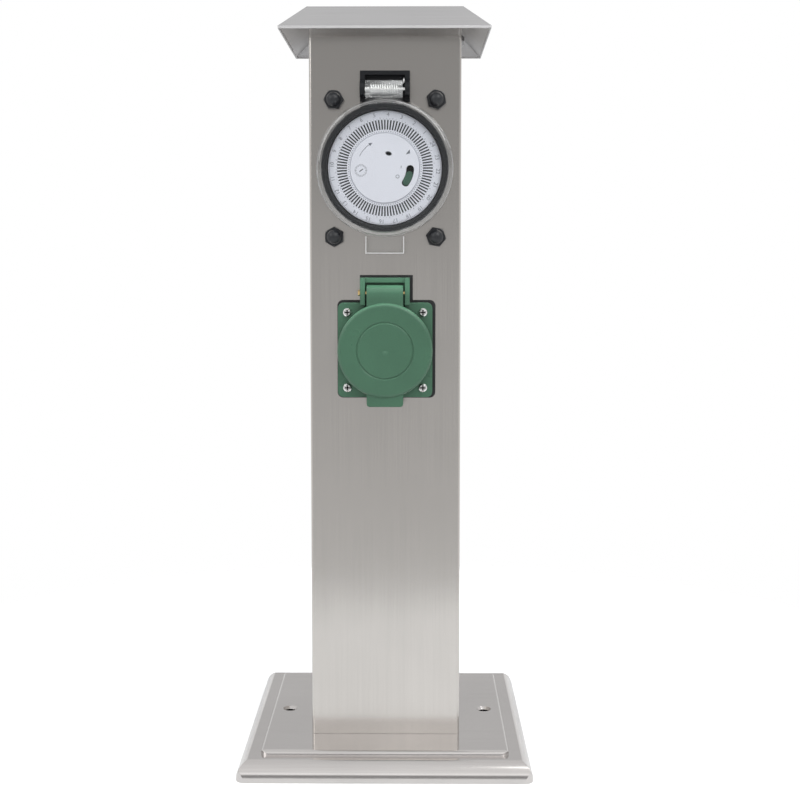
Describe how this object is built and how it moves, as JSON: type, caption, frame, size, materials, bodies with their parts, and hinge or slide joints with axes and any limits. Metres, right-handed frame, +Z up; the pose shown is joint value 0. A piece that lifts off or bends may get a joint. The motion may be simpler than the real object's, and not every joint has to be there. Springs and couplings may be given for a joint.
{
  "type": "garden socket post",
  "caption": "Square steel garden post on a stepped base, with a hipped roof, a dial timer under a clear hinged flap and a socket with a sprung lid.",
  "frame": {"origin": "centre of the base's footprint, on the ground", "axes": "+Z up along the post, -Y out of the front face with the timer and the socket"},
  "size_m": [0.155, 0.155, 0.4021],
  "materials": {
    "brushed_steel": "vertical brushed grain, satin",
    "zinc_steel": "plain zinc-plated sheet",
    "bright_steel": "bright",
    "motor_steel": "drawn can, satin",
    "black_plastic": "moulded, fine texture",
    "dial_black": "moulded",
    "black_rubber": "matt",
    "white_plastic": "moulded and printed",
    "ivory_plastic": "moulded",
    "clear_plastic": "polished",
    "green_plastic": "satin moulded",
    "dark_green_plastic": "moulded",
    "slider_green": "moulded",
    "red_plastic": "moulded",
    "brass": "plain",
    "cable_brown": "insulation",
    "cable_blue": "insulation",
    "cable_earth": "green and yellow insulation"
  },
  "bodies": {
    "post": {"post_tube": "brushed_steel", "base_cover": "brushed_steel", "roof_cap": "brushed_steel", "foot_bracket": "zinc_steel", "roof_collar": "zinc_steel", "base_screws": "zinc_steel", "base_nuts": "zinc_steel", "clamp_screws": "zinc_steel", "block_screws": "zinc_steel", "earth_stud": "zinc_steel", "earth_nut": "zinc_steel", "timer_studs": "zinc_steel", "flange_nuts": "zinc_steel", "motor_screws": "zinc_steel", "roof_screws": "bright_steel", "flange_screws": "bright_steel", "flap_pin": "bright_steel", "flap_spring": "bright_steel", "lid_spring": "bright_steel", "timer_motor": "motor_steel", "timer_bezel": "black_plastic", "timer_housing": "black_plastic", "cap_nuts": "black_plastic", "movement_plate": "black_plastic", "microswitch": "black_plastic", "cable_grommet": "black_rubber", "timer_gasket": "black_rubber", "socket_gasket": "black_rubber", "dial_face": "white_plastic", "cable_clamp": "ivory_plastic", "terminal_block": "ivory_plastic", "socket_frame": "green_plastic", "socket_insert": "dark_green_plastic", "socket_back": "dark_green_plastic", "lid_pin": "brass", "block_inserts": "brass", "contact_sleeves": "brass", "earth_strap": "brass", "timer_tabs": "brass", "live_leads": "cable_brown", "neutral_leads": "cable_blue", "earth_leads": "cable_earth"},
    "flap": {"clear_flap": "clear_plastic"},
    "lid": {"socket_lid": "green_plastic"},
    "dial": {"time_dial": "white_plastic", "dial_carrier": "dial_black", "tappets": "dial_black"},
    "tappet": {"single_tappet": "dial_black"},
    "override": {"override_lever": "slider_green"},
    "plunger": {"switch_plunger": "red_plastic"},
    "reduction": {"reduction_gear": "ivory_plastic"},
    "pinion": {"motor_pinion": "brass"}
  },
  "joints": [
    {"name": "flap_hinge", "type": "hinge", "parent": "post", "child": "flap", "pos_m": [0, -0.0465, 0.3589], "axis": [-1, 0, 0], "range_deg": [0, 110], "stiffness_Nm_per_rad": 0.02, "springref_deg": -20.05},
    {"name": "lid_hinge", "type": "hinge", "parent": "post", "child": "lid", "pos_m": [0, -0.0465, 0.2531], "axis": [-1, 0, 0], "range_deg": [0, 110], "stiffness_Nm_per_rad": 0.02, "springref_deg": -20.05},
    {"name": "dial_turn", "type": "hinge", "parent": "post", "child": "dial", "pos_m": [0, -0.045, 0.3182], "axis": [0, 1, 0], "continuous": true},
    {"name": "reduction_turn", "type": "hinge", "parent": "post", "child": "reduction", "pos_m": [0.01782, -0.04, 0.30038], "axis": [0, 1, 0], "continuous": true},
    {"name": "pinion_turn", "type": "hinge", "parent": "post", "child": "pinion", "pos_m": [0.01075, -0.04, 0.30745], "axis": [0, 1, 0], "continuous": true},
    {"name": "override_turn", "type": "hinge", "parent": "post", "child": "override", "pos_m": [0, -0.045, 0.3182], "axis": [0, -1, 0], "range_deg": [0, 11]},
    {"name": "plunger_slide", "type": "slide", "parent": "post", "child": "plunger", "axis": [0, 1, 0], "range_m": [0, 0.001]},
    {"name": "tappet_slide", "type": "slide", "parent": "dial", "child": "tappet", "axis": [0, 1, 0], "range_m": [0, 0.0012]}
  ],
  "couplings": [
    {"joint": "reduction_turn", "follows": "dial_turn", "ratio": -6},
    {"joint": "pinion_turn", "follows": "dial_turn", "ratio": 24},
    {"joint": "plunger_slide", "follows": "override_turn", "m_per_rad": 0.005}
  ]
}
